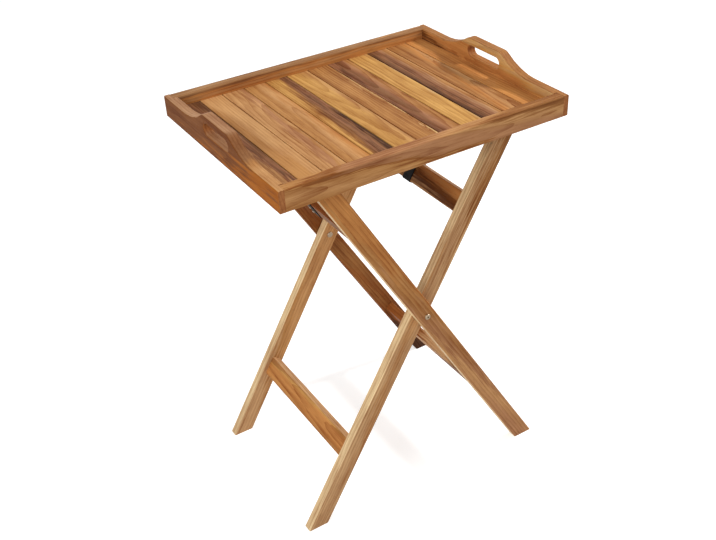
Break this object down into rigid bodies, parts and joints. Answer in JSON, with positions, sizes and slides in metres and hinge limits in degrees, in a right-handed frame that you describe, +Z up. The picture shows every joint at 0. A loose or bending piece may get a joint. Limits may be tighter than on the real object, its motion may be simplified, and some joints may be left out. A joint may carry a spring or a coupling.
{
  "type": "butlers tray table",
  "caption": "Teak butler's tray table: a slatted tray with raised handles, lifting off a folding cross-legged stand that a webbing strap holds open.",
  "frame": {"origin": "on the floor, below the middle of the pivot axis and the middle of the tray", "axes": "+Z up, +X along the tray from one handle to the other, +Y across the tray, along the pivot axis"},
  "size_m": [0.6, 0.455, 0.859],
  "materials": {
    "teak_stand": "oiled teak",
    "teak_tray": "oiled teak",
    "teak_slat": "oiled teak",
    "steel": "satin stainless steel",
    "webbing": "black woven webbing"
  },
  "bodies": {
    "outer_frame": {"outer_leg_front": "teak_stand", "outer_leg_rear": "teak_stand", "outer_stretcher": "teak_stand", "outer_top_bar": "teak_stand", "outer_strap_screws": "steel", "limit_strap": "webbing", "pivot_bolts": "steel", "pivot_sleeve_nuts": "steel", "pivot_washers": "steel"},
    "inner_frame": {"inner_leg_front": "teak_stand", "inner_leg_rear": "teak_stand", "inner_stretcher": "teak_stand", "inner_top_bar": "teak_stand", "inner_strap_screws": "steel"},
    "tray": {"tray_rail_front": "teak_tray", "tray_rail_rear": "teak_tray", "tray_end_left": "teak_tray", "tray_end_right": "teak_tray", "slat_01": "teak_slat", "slat_02": "teak_slat", "slat_03": "teak_slat", "slat_04": "teak_slat", "slat_05": "teak_slat", "slat_06": "teak_slat", "slat_07": "teak_slat", "slat_08": "teak_slat", "slat_09": "teak_slat", "slat_10": "teak_slat", "slat_11": "teak_slat", "slat_12": "teak_slat", "tray_batten_front": "teak_tray", "tray_batten_rear": "teak_tray", "slat_screws": "steel"}
  },
  "joints": [
    {"name": "fold", "type": "hinge", "parent": "outer_frame", "child": "inner_frame", "pos_m": [0, 0, 0.443], "axis": [0, -1, 0], "range_deg": [0, 51.5], "deforming": ["limit_strap"]},
    {"name": "tray_lift", "type": "slide", "parent": "outer_frame", "child": "tray", "axis": [0, 0, 1], "range_m": [0, 0.27]}
  ],
  "couplings": [
    {"joint": "tray_lift", "follows": "fold", "m_per_rad": 0.3}
  ]
}
